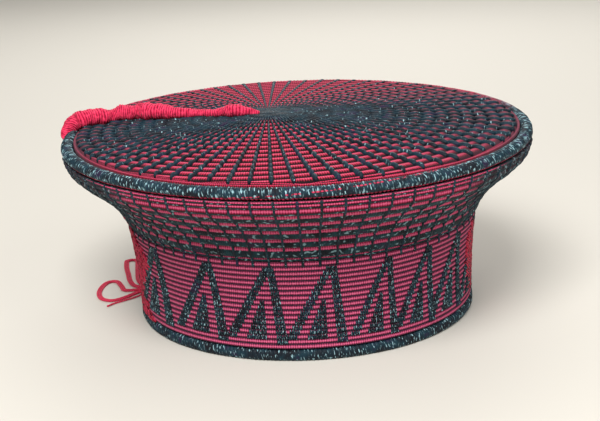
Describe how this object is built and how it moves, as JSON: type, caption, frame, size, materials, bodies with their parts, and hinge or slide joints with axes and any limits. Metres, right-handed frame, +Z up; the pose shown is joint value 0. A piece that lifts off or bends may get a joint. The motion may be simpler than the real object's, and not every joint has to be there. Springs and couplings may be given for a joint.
{
  "type": "zulu hat",
  "caption": "Wide-topped Zulu hat: flared coiled crown with raised black ribs on red, dark wound rim, stepped zigzag band, red seam roll and yarn tie.",
  "frame": {"origin": "centre of the bounding box at the surface that the open base stands on", "axes": "+Z up through the crown, -Y towards the front as pictured, -X towards the seam roll"},
  "size_m": [0.2994, 0.303, 0.1335],
  "materials": {
    "red_yarn": "matte wound thread in rows, crossed by black ribs",
    "black_yarn": "dark thread with a teal cast and small pale glints",
    "bright_red_yarn": "soft bright red yarn"
  },
  "bodies": {
    "root": {"top_disc": "red_yarn", "rim_roll": "black_yarn", "side_flare": "red_yarn", "side_band": "red_yarn", "base_binding": "black_yarn", "seam_roll": "bright_red_yarn", "tie_knot": "bright_red_yarn", "tie_loop_left": "bright_red_yarn", "tie_loop_back": "bright_red_yarn", "tie_tail": "bright_red_yarn"}
  },
  "joints": []
}
